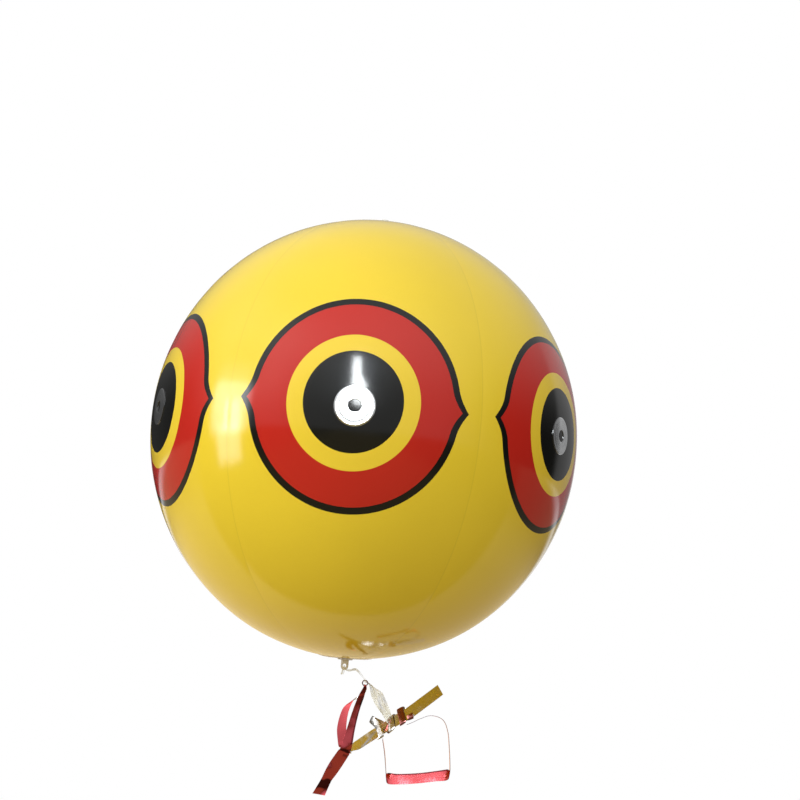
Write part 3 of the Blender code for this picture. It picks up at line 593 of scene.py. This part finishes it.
def make_gore(gore, look):
    """One panel with its printed face, an inner face, and the lap that runs under the next gore."""
    columns, lap = gore_longitudes()
    rows = np.linspace(-GORE_END_LATITUDE, GORE_END_LATITUDE, GORE_ROWS)
    every = columns + lap
    points = []
    prints = []
    for depth in (0.0, FILM):
        for latitude in rows:
            for index, longitude in enumerate(every):
                offset = -depth
                if index >= len(columns):
                    offset -= LAP_DROP
                points.append(skin_point(gore, longitude, latitude, offset))
                prints.append(print_place(gore, longitude, latitude))
    wide = len(every)
    tall = len(rows)
    inner = wide * tall
    faces = []
    for row in range(tall - 1):
        for column in range(wide - 1):
            a = row * wide + column
            b = a + 1
            c = b + wide
            d = a + wide
            faces.append((a, b, c, d))
            faces.append((inner + d, inner + c, inner + b, inner + a))
    for row in range(tall - 1):
        left = row * wide
        right = left + wide - 1
        faces.append((left + wide, left + wide + inner, left + inner, left))
        faces.append((right, right + inner, right + wide + inner, right + wide))
    for column in range(wide - 1):
        top = (tall - 1) * wide + column
        faces.append((column, column + inner, column + 1 + inner, column + 1))
        faces.append((top + 1, top + 1 + inner, top + inner, top))
    piece = add_piece(f"skin_{gore + 1}", points, faces, [look])
    store_print(piece, prints)
    sharpen(piece, 40)
    finish_piece(piece, "ball", "yellow_vinyl", f"gore_{gore + 1}")


def make_disc(gore, look):
    """Foil sticker with fine turned ridges, a rounded rim and a hole that shows the pupil."""
    register_east, register_north = EYE_REGISTER[gore]
    shift_east, shift_north = DISC_SHIFT[gore]
    around = ROUND_STEPS
    profile = []
    steps = 30
    for step in range(steps + 1):
        share = step / steps
        radius = DISC_HOLE_RADIUS + (DISC_RADIUS - DISC_HOLE_RADIUS) * share
        ridge = DISC_RIDGE_HEIGHT * math.sin(share * math.tau * DISC_RIDGES)
        rim = DISC_RIM_DROP * (1 - min(1.0, min(share, 1 - share) * 12)) ** 2
        profile.append((radius, DISC_TOP + ridge - rim))
    profile.append((DISC_RADIUS, DISC_UNDERSIDE))
    profile.append((DISC_HOLE_RADIUS, DISC_UNDERSIDE))
    points = []
    prints = []
    for radius, offset in profile:
        for step in range(around):
            angle = math.tau * step / around
            x = radius * math.cos(angle)
            y = radius * math.sin(angle)
            longitude = register_east + math.degrees((x + shift_east * MM) / EQUATOR_RADIUS)
            latitude = EYE_LATITUDE + register_north + math.degrees((y + shift_north * MM) / POLE_RADIUS)
            points.append(skin_point(gore, longitude, latitude, offset))
            prints.append((x, y, 0.0))
    faces = []
    for ring in range(len(profile)):
        following = (ring + 1) % len(profile)
        for step in range(around):
            after = (step + 1) % around
            near = ring * around
            far = following * around
            faces.append((near + step, far + step, far + after, near + after))
    piece = add_piece(f"foil_disc_{gore + 1}", points, faces, [look])
    store_print(piece, prints)
    sharpen(piece)
    finish_piece(piece, "ball", "silver_foil", f"pupil_disc_{gore + 1}")


# Pole patches

def lathe(name, profile, look, centre, wobble):
    """A closed turned solid. The profile is a closed run of (radius, height), and radius 0 is a point."""
    steps = ROUND_STEPS
    points = []
    rings = []
    for radius, height in profile:
        ring = []
        count = 1 if radius == 0 else steps
        for step in range(count):
            angle = math.tau * step / steps
            ring.append(len(points))
            x = centre[0] + radius * math.cos(angle)
            y = centre[1] + radius * math.sin(angle)
            points.append((x, y, centre[2] + height + wobble(radius, angle)))
        rings.append(ring)
    faces = []
    for ring, following in zip(rings, rings[1:] + rings[:1]):
        if len(ring) == 1 and len(following) == 1:
            continue
        for step in range(steps):
            after = (step + 1) % steps
            corners = [ring[step % len(ring)], following[step % len(following)]]
            corners += [following[after % len(following)], ring[after % len(ring)]]
            face = list(dict.fromkeys(corners))
            if len(face) > 2:
                faces.append(face)
    piece = add_piece(name, points, faces, [look])
    sharpen(piece)
    return piece


def patch_profile(inner, outer, sign):
    """Section of a pole patch: a thin domed ring or cap that follows the film, thinner at its rim."""
    steps = 14
    high = []
    low = []
    for step in range(steps + 1):
        radius = outer + (inner - outer) * step / steps
        height = POLE_RADIUS * math.sqrt(1 - (radius / EQUATOR_RADIUS) ** 2) + PATCH_GAP
        rim = PATCH_THICKNESS * (0.35 if step == 0 else 1.0)
        high.append((radius, sign * (height + rim)))
        low.append((radius, sign * height))
    return high + list(reversed(low))


def patch_ripple(radius, angle):
    """How far a patch follows the film's pleats, more towards its rim."""
    share = max(0.0, (radius - PATCH_FLAT_RADIUS) / (PATCH_RADIUS - PATCH_FLAT_RADIUS))
    pleat = PATCH_PLEAT_HEIGHT * share**2 * math.cos(angle * PLEAT_COUNT)
    return pleat + PATCH_RIPPLE_HEIGHT * share * math.cos(angle * 7 + 1.0)


# Tapes

def through(values, steps):
    """A smooth run of vectors through the given ones, with the same number of steps in each stretch."""
    out = []
    last = len(values) - 1
    for i in range(last):
        before = values[max(i - 1, 0)]
        start = values[i]
        end = values[i + 1]
        after = values[min(i + 2, last)]
        for k in range(steps):
            t = k / steps
            linear = (end - before) * t
            square = (2 * before - 5 * start + 4 * end - after) * t**2
            cube = (3 * start - before - 3 * end + after) * t**3
            out.append(0.5 * (2 * start + linear + square + cube))
    out.append(values[last])
    return out


def band_shade(bands, along, across):
    """How much of the foil's colour is left at a place, outside its bands of painted shade at creases and
    edges.
    """
    left = 1.0
    for start, end, low, high, depth in bands:
        if not low <= across <= high:
            continue
        ragged = noise.noise(Vector((along / (4 * MM), across, start * 1000)))
        place = along + SHADE_BAND_SLANT * across + SHADE_BAND_RAGGEDNESS * ragged
        left -= depth * min(1.0, max(0.0, min(place - start, end - place) / SHADE_BAND_SOFTNESS + 0.5))
    return max(0.0, left)


def tape_lift(along, across, wide, crinkle, curl, wave, pleats, seed):
    """How far a tape's face rises off its middle plane at a place, with across from -1 to 1."""
    side = across * wide
    share = min(1.0, wide / (3 * MM))
    broad = noise.noise(Vector((along / (7 * MM), side / (7 * MM), seed)))
    fine = noise.noise(Vector((along / (2.2 * MM), side / (5 * MM), seed + 5.1)))
    lift = crinkle * (broad + 0.35 * fine) * share
    lift += curl * (across * across - 0.4) * share
    lift += wave * noise.noise(Vector((along / (14 * MM), across * 0.4, seed + 2.2)))
    lift += pleats * math.sin(across * 7.0 + 2.5 * noise.noise(Vector((along / (9 * MM), seed, 3.3))))
    return lift


def tape_faces(last):
    """Faces of a closed tape and the look of each: 0 and 1 for its two sides, and 2 for the cut edge."""
    across = TAPE_COLUMNS
    wide = across + 1
    inner = (last + 1) * wide
    faces = []
    indices = []
    for i in range(last):
        for k in range(across):
            a = i * wide + k
            faces.append((a, a + wide, a + wide + 1, a + 1))
            indices.append(0)
            faces.append((inner + a + 1, inner + a + wide + 1, inner + a + wide, inner + a))
            indices.append(1)
    for i in range(last):
        a = i * wide
        b = a + across
        faces.append((a, inner + a, inner + a + wide, a + wide))
        faces.append((b + wide, inner + b + wide, inner + b, b))
        indices += [2, 2]
    for k in range(across):
        b = last * wide + k
        faces.append((k + 1, inner + k + 1, inner + k, k))
        faces.append((b, inner + b, inner + b + 1, b + 1))
        indices += [2, 2]
    return faces, indices


def tape_piece(
    name, centres, halves, looks, thickness, curl=0.0, crinkle=0.0, wave=0.0, pleats=0.0, seed=0.0, bands=()
):
    """A closed thin tape. looks are the side that faces along x half, the other side and the cut edge."""
    last = len(centres) - 1
    top = []
    bottom = []
    flat = []
    shades = []
    along = 0.0
    for i, (centre, half) in enumerate(zip(centres, halves)):
        way = centres[min(i + 1, last)] - centres[max(i - 1, 0)]
        off = way.cross(half).normalized()
        wide = half.length
        if i:
            along += (centre - centres[i - 1]).length
        for k in range(TAPE_COLUMNS + 1):
            across = 2 * k / TAPE_COLUMNS - 1
            lift = tape_lift(along, across, wide, crinkle, curl, wave, pleats, seed)
            place = centre + half * across + off * lift
            top.append(place + off * thickness / 2)
            bottom.append(place - off * thickness / 2)
            flat.append((along, across * wide, wide))
            shades.append(band_shade(bands, along, across))
    faces, indices = tape_faces(last)
    piece = add_piece(name, top + bottom, faces, looks, indices)
    layer = piece.data.attributes.new("flat", "FLOAT_VECTOR", "POINT")
    layer.data.foreach_set("vector", np.asarray(flat + flat, np.float32).ravel())
    layer = piece.data.attributes.new("shade", "FLOAT", "POINT")
    layer.data.foreach_set("value", np.asarray(shades + shades, np.float32))
    sharpen(piece, 50)
    return piece


def route(stations, steps=12):
    """Centres and half widths of a tape, in the row frame."""
    centres = through([Vector(centre) * MM + BALL_CENTRE for centre, _ in stations], steps)
    halves = through([Vector(half) * MM for _, half in stations], steps)
    return centres, halves


def winding_route(along, pitch, first_turn, last_turn, loosening, slack, steps=64):
    """Centres and half widths of a tape wound round the slanted strip as an open helix."""
    count = round((last_turn - first_turn) * steps)
    place = (LOOP_PLACE * MM + BALL_CENTRE) + STRIP_WAY * along
    centres = []
    halves = []
    for i in range(count + 1):
        turn = first_turn + i / steps
        looser = 1 + loosening * i / count
        across = math.cos(math.tau * turn)
        deep = math.sin(math.tau * turn)
        bulge = math.copysign(abs(deep) ** 0.45, deep)
        depth = WRAP_HALF_DEPTH * looser * bulge
        height = WRAP_HALF_WIDTH * looser * across + WRAP_HALF_WIDTH * (looser - 1)
        forward = pitch * (turn - FRONT_TURN)
        loose = slack * math.exp(-(((turn - SLACK_TURN) / SLACK_SPREAD) ** 2))
        height += loose
        forward -= 0.8 * loose
        centres.append(place + STRIP_WAY * forward + STRIP_DEEP * depth + STRIP_UP * height)
        outward = (STRIP_DEEP * deep * WRAP_HALF_WIDTH + STRIP_UP * across * WRAP_HALF_DEPTH).normalized()
        tilt = 0.3 * noise.noise(Vector((turn * 2.1, along * 100, 4.4)))
        if slack:
            tilt += 0.6 * loose / slack
        halves.append((STRIP_WAY * math.cos(tilt) + outward * math.sin(tilt)) * (WRAP_TAPE_WIDTH / 2))
    return centres, halves


def make_ring(look):
    """The wire ring, bent from two twisted strands."""
    around = ROUND_STEPS
    section = 12
    centre = Vector(RING_PLACE) * MM + BALL_CENTRE
    points = []
    for i in range(around):
        turn = math.tau * i / around
        for k in range(section):
            angle = math.tau * k / section
            fat = RING_WIRE_RADIUS * (1 + 0.12 * math.cos(2 * angle + 14 * turn))
            reach = RING_RADIUS + fat * math.cos(angle)
            place = (reach * math.cos(turn), fat * math.sin(angle), reach * math.sin(turn))
            points.append(centre + Vector(place))
    faces = []
    for i in range(around):
        j = (i + 1) % around
        for k in range(section):
            n = (k + 1) % section
            faces.append((i * section + k, i * section + n, j * section + n, j * section + k))
    piece = add_piece("ring_wire", points, faces, [look])
    finish_piece(piece, "tail", "knot", "knot_ring")


# Camera, world, floor and windows

def make_camera():
    data = bpy.data.cameras.new("camera")
    data.lens = CAMERA_LENS
    data.sensor_width = CAMERA_SENSOR
    camera = bpy.data.objects.new("camera", data)
    bpy.context.scene.collection.objects.link(camera)
    axes = Matrix((CAMERA_RIGHT, CAMERA_UP, CAMERA_BACK)).transposed().to_4x4()
    camera.matrix_world = Matrix.Translation(CAMERA_PLACE) @ axes
    bpy.context.scene.camera = camera


def soft_patch(tree, where, azimuth, elevation, half_width, half_height, softness):
    """1 inside a soft rectangle of directions, and 0 outside."""
    turn = math.radians(azimuth)
    rise = math.radians(elevation)
    middle = Vector((math.cos(rise) * math.sin(turn), -math.cos(rise) * math.cos(turn), math.sin(rise)))
    side = Vector((math.cos(turn), math.sin(turn), 0))
    upward = side.cross(middle)
    if upward.z < 0:
        upward = -upward
    soft = math.radians(softness) / 2
    share = None
    for way, half in ((side, half_width), (upward, half_height)):
        along = add_node(tree, "ShaderNodeVectorMath", operation="DOT_PRODUCT", in_1=way)
        link(tree, where, along.inputs[0])
        edge = math.sin(math.radians(half))
        off = maths(tree, "ABSOLUTE", along.outputs["Value"])
        part = ramp(tree, off, edge + soft, edge - soft, 0.0, 1.0, "SMOOTHSTEP")
        share = part if share is None else maths(tree, "MULTIPLY", share, part)
    facing = add_node(tree, "ShaderNodeVectorMath", operation="DOT_PRODUCT", in_1=middle)
    link(tree, where, facing.inputs[0])
    return maths(tree, "MULTIPLY", share, maths(tree, "GREATER_THAN", facing.outputs["Value"], 0.0))


def scaled(tree, colour, amount):
    made = add_node(tree, "ShaderNodeVectorMath", operation="SCALE", in_0=colour)
    link(tree, amount, made.inputs["Scale"])
    return made.outputs["Vector"]


def added(tree, first, second):
    made = add_node(tree, "ShaderNodeVectorMath", operation="ADD")
    link(tree, first, made.inputs[0])
    link(tree, second, made.inputs[1])
    return made.outputs["Vector"]


def white_rays(tree, backdrop):
    """The share of camera rays, and that of the rays that see white: the camera's, and mirrored ones that
    reach the backdrop."""
    rays = tree.nodes.new("ShaderNodeLightPath")
    seen = rays.outputs["Is Camera Ray"]
    mirrored = maths(tree, "MAXIMUM", rays.outputs["Is Glossy Ray"], rays.outputs["Is Transmission Ray"])
    return seen, maths(tree, "MAXIMUM", seen, maths(tree, "MULTIPLY", mirrored, backdrop))


def make_world():
    """White backdrop behind the object, and to its front and sides a room with windows that light it."""
    world = bpy.data.worlds.new("studio")
    world.use_nodes = True
    bpy.context.scene.world = world
    tree = world.node_tree
    shown = tree.nodes["Background"]
    where = tree.nodes.new("ShaderNodeTexCoord").outputs["Generated"]
    axes = split_axes(tree, where)
    behind = ramp(tree, axes["Y"], 0.50, 0.60, 0.0, BEHIND_RIGHT_LIGHT, "SMOOTHSTEP")
    to_right = ramp(tree, axes["X"], -0.2, 0.2, 0.0, 1.0, "SMOOTHSTEP")
    low_down = ramp(tree, axes["Z"], 0.35, 0.60, 1.0, 0.0, "SMOOTHSTEP")
    light = maths(tree, "MULTIPLY", maths(tree, "MULTIPLY", behind, to_right), low_down)
    for value, low, high, level in (
        (axes["Y"], -0.2, -0.8, FRONT_LIGHT),
        (axes["Z"], 0.1, 0.8, ABOVE_LIGHT),
        (axes["X"], -0.1, -0.8, LEFT_LIGHT),
        (axes["X"], 0.1, 0.8, RIGHT_LIGHT),
    ):
        part = ramp(tree, value, low, high, 0.0, level, "SMOOTHSTEP")
        light = maths(tree, "ADD", light, part)
    room = scaled(tree, (1.0, 1.0, 1.0), light)
    for *shape, colour in ROOM_PATCHES:
        room = added(tree, room, scaled(tree, colour, soft_patch(tree, where, *shape)))
    white = white_rays(tree, ramp(tree, axes["Y"], 0.93, 0.98, 0.0, 1.0, "SMOOTHSTEP"))[1]
    link(tree, mix_colour(tree, white, room, (1.0, 1.0, 1.0)), shown.inputs["Color"])


def make_floor():
    """Pale floor under the hanging ball. It fades into the white backdrop and keeps a soft shadow."""
    corners = []
    for x, y in ((-1, -1), (1, -1), (1, 1), (-1, 1)):
        corners.append((x * FLOOR_HALF_SIZE, y * FLOOR_HALF_SIZE, FLOOR_HEIGHT))
    made, tree, shader = new_material("pale_floor")
    shader.inputs["Base Color"].default_value = (0.62, 0.61, 0.60, 1.0)
    shader.inputs["Roughness"].default_value = 0.7
    where = tree.nodes.new("ShaderNodeTexCoord").outputs["Object"]
    far = add_node(tree, "ShaderNodeVectorMath", operation="LENGTH")
    link(tree, where, far.inputs[0])
    fade = ramp(tree, far.outputs["Value"], 1.4, 3.4, 0.72, 1.0)
    axes = split_axes(tree, where)
    to_right = ramp(tree, axes["X"], -0.3, 0.3, 0.0, 1.0, "SMOOTHSTEP")
    behind = ramp(tree, axes["Y"], 0.09, 0.12, 0.0, 1.0, "SMOOTHSTEP")
    rear = mix_colour(tree, to_right, LEFT_FLOOR_LIGHT, RIGHT_FLOOR_LIGHT)
    reflected = mix_colour(tree, behind, FRONT_FLOOR_LIGHT, rear)
    dim = ramp(tree, axes["X"], 1.4, 3.0, 0.0, 0.7, "SMOOTHSTEP")
    dim = maths(tree, "ADD", dim, ramp(tree, axes["X"], -1.8, -3.6, 0.0, 0.6, "SMOOTHSTEP"))
    reflected = mix_colour(tree, dim, reflected, FAR_FLOOR_LIGHT)
    seen, white = white_rays(tree, ramp(tree, axes["Y"], 5.0, 9.0, 0.0, 1.0, "SMOOTHSTEP"))
    glow = tree.nodes.new("ShaderNodeEmission")
    link(tree, mix_colour(tree, white, reflected, (1.0, 1.0, 1.0)), glow.inputs["Color"])
    mixed = tree.nodes.new("ShaderNodeMixShader")
    unseen = maths(tree, "SUBTRACT", 1.0, seen)
    link(tree, maths(tree, "ADD", maths(tree, "MULTIPLY", seen, fade), unseen), mixed.inputs[0])
    link(tree, shader.outputs[0], mixed.inputs[1])
    link(tree, glow.outputs[0], mixed.inputs[2])
    link(tree, mixed.outputs[0], tree.nodes["Material Output"].inputs["Surface"])
    floor = add_piece("floor", corners, [(0, 1, 2, 3)], [made], smooth=False)


def window_material(name, level):
    """Shines on the object, and is clear to the camera. level is a number or a function of the tree."""
    made, tree, shader = new_material(name)
    rays = tree.nodes.new("ShaderNodeLightPath")
    unseen = maths(tree, "SUBTRACT", 1.0, rays.outputs["Is Camera Ray"])
    glow = tree.nodes.new("ShaderNodeEmission")
    glow.inputs["Color"].default_value = (0.94, 0.98, 1.0, 1.0)
    strength = level(tree) if callable(level) else level
    link(tree, maths(tree, "MULTIPLY", unseen, strength), glow.inputs["Strength"])
    clear = tree.nodes.new("ShaderNodeBsdfTransparent")
    both = tree.nodes.new("ShaderNodeAddShader")
    link(tree, clear.outputs[0], both.inputs[0])
    link(tree, glow.outputs[0], both.inputs[1])
    link(tree, both.outputs[0], tree.nodes["Material Output"].inputs["Surface"])
    tree.nodes.remove(shader)
    return made


def left_window_level(tree):
    """The soft rectangles of the left window, added up over its own x and y."""
    axes = split_axes(tree, tree.nodes.new("ShaderNodeTexCoord").outputs["Object"])
    total = None
    for x, y, half_width, half_height, softness, level in LEFT_WINDOW:
        across = maths(tree, "ABSOLUTE", maths(tree, "SUBTRACT", axes["X"], x))
        along = maths(tree, "ABSOLUTE", maths(tree, "SUBTRACT", axes["Y"], y))
        soft = softness / 2
        wide = ramp(tree, across, half_width + soft, half_width - soft, 0.0, level, "SMOOTHSTEP")
        tall = ramp(tree, along, half_height + soft, half_height - soft, 0.0, 1.0, "SMOOTHSTEP")
        part = maths(tree, "MULTIPLY", wide, tall)
        total = part if total is None else maths(tree, "ADD", total, part)
    return total


def make_windows():
    front = window_material("front_window", FRONT_WINDOW_LIGHT)
    corners = [BALL_CENTRE + Vector((x, FRONT_WINDOW_Y, z)) for x, z in FRONT_WINDOW]
    add_piece("front_window", corners, [range(len(corners))], [front], smooth=False)
    left = window_material("left_window", left_window_level)
    card = add_piece("left_window", LEFT_WINDOW_CARD, [(0, 1, 2, 3)], [left], smooth=False)
    turn = math.radians(LEFT_WINDOW_AZIMUTH)
    away = Vector((math.sin(turn), -math.cos(turn), 0))
    side = Vector((math.cos(turn), math.sin(turn), 0))
    axes = Matrix((side, Vector((0, 0, 1)), side.cross(Vector((0, 0, 1))))).transposed().to_4x4()
    card.matrix_world = Matrix.Translation(BALL_CENTRE + away * LEFT_WINDOW_DISTANCE) @ axes


# Build

make_camera()
make_world()
make_floor()
make_windows()

vinyl = vinyl_material()
disc_foil = foil_material("disc_foil", (0.93, 0.94, 0.95), 0.12, groove=True)
silver = foil_material("silver_side", (0.86, 0.84, 0.82), 0.10)
red = foil_material("red_side", (0.84, 0.13, 0.15), 0.15, painted_shade=True)
# Painted shade: the wound tapes are the same silver and red foil as the others, made darker
shaded_wrap_silver = foil_material("shaded_wrap_silver", (0.62, 0.59, 0.57), 0.16)
shaded_wrap_red = foil_material("shaded_wrap_red", (0.34, 0.12, 0.11), 0.16)
dark_wire = foil_material("dark_wire", (0.20, 0.10, 0.10), 0.25)
clear_film = film_material("clear_film", (0.90, 0.88, 0.78))
clear_vinyl = clear_material("clear_vinyl", (0.90, 0.90, 0.87), 0.45, 0.12)
clear_patch = clear_material("clear_patch", (0.93, 0.84, 0.50), 0.28, 0.16)
clear_tab = clear_material("clear_tab", (0.78, 0.64, 0.32), 0.55, 0.14)
# Painted shade: the cut edges of the tapes are dark, for the shaded line along the tapes' edges
painted_edge_shade = foil_material("painted_edge_shade", (0.16, 0.10, 0.13), 0.3)

for number in range(GORE_COUNT):
    make_gore(number, vinyl)
    make_disc(number, disc_foil)

section = patch_profile(PATCH_HOLE_RADIUS, PATCH_RADIUS, 1)
top_patch = lathe("top_patch_film", section, clear_patch, BALL_CENTRE, patch_ripple)
finish_piece(top_patch, "ball", "clear_patch", "top_patch")
section = patch_profile(0.0, PATCH_RADIUS, -1)
bottom_patch = lathe("bottom_patch_film", section, clear_patch, BALL_CENTRE, patch_ripple)
bottom_patch.data.flip_normals()
finish_piece(bottom_patch, "ball", "clear_patch", "bottom_patch")

for node, look in (
    ("valve_base", clear_vinyl),
    ("valve_stem", clear_vinyl),
    ("plug_strap", clear_vinyl),
    ("valve_plug", clear_vinyl),
    ("check_flap", clear_vinyl),
    ("tail_tab", clear_tab),
):
    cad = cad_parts[node]
    for slot_index in range(len(cad.material_slots)):
        cad.material_slots[slot_index].material = look
    bevel = cad.modifiers.new("Round", "BEVEL")
    bevel.width = BEVEL_WIDTH
    bevel.segments = 2
    bevel.limit_method = "ANGLE"
    bevel.angle_limit = math.radians(BEVEL_DEGREES)

make_ring(dark_wire)

centres, halves = route(CLEAR_ROUTE)
tie = tape_piece(
    "tie_film",
    centres,
    halves,
    [clear_film] * 3,
    TAPE_THICKNESS,
    crinkle=0.35 * MM,
    pleats=0.40 * MM,
    seed=11.0,
)
finish_piece(tie, "tail", "clear_ribbon", "tie_ribbon")

centres, halves = route(BOW_ROUTE)
bow = tape_piece(
    "bow_tape",
    centres,
    halves,
    [red, silver, painted_edge_shade],
    TAPE_THICKNESS,
    curl=0.05 * MM,
    crinkle=0.03 * MM,
    wave=0.08 * MM,
    seed=2.0,
)
finish_piece(bow, "tail", "silver_tape", "bow_streamer")

centres, halves = route(RED_ROUTE)
streamer = tape_piece(
    "red_tape",
    centres,
    halves,
    [red, silver, painted_edge_shade],
    TAPE_THICKNESS,
    curl=0.12 * MM,
    crinkle=0.10 * MM,
    wave=0.3 * MM,
    seed=4.0,
    # Bands of painted shade on the red side
    bands=RED_PAINTED_SHADE,
)
finish_piece(streamer, "red_tape", "red_tape", "red_streamer")

centres, halves = route(LOOP_ROUTE)
loop = tape_piece(
    "loop_tape",
    centres,
    halves,
    [silver, red, painted_edge_shade],
    LOOP_THICKNESS,
    curl=0.05 * MM,
    crinkle=0.06 * MM,
    seed=6.0,
    # Band of painted shade along one edge of the loop
    bands=LOOP_PAINTED_SHADE,
)
finish_piece(loop, "tape_loop", "red_tape", "loop_streamer")

for number, (winding, inward) in enumerate(zip(WINDINGS, (shaded_wrap_silver, shaded_wrap_red))):
    centres, halves = winding_route(*winding)
    wrap = tape_piece(
        f"winding_{number + 1}",
        centres,
        halves,
        [shaded_wrap_silver, inward, painted_edge_shade],
        TAPE_THICKNESS,
        curl=0.3 * MM,
        crinkle=0.2 * MM,
        seed=8.0 + number,
    )
    finish_piece(wrap, "tail", "silver_tape", f"tape_wrap_{number + 1}")

scene = bpy.context.scene
scene.view_settings.view_transform = "Standard"
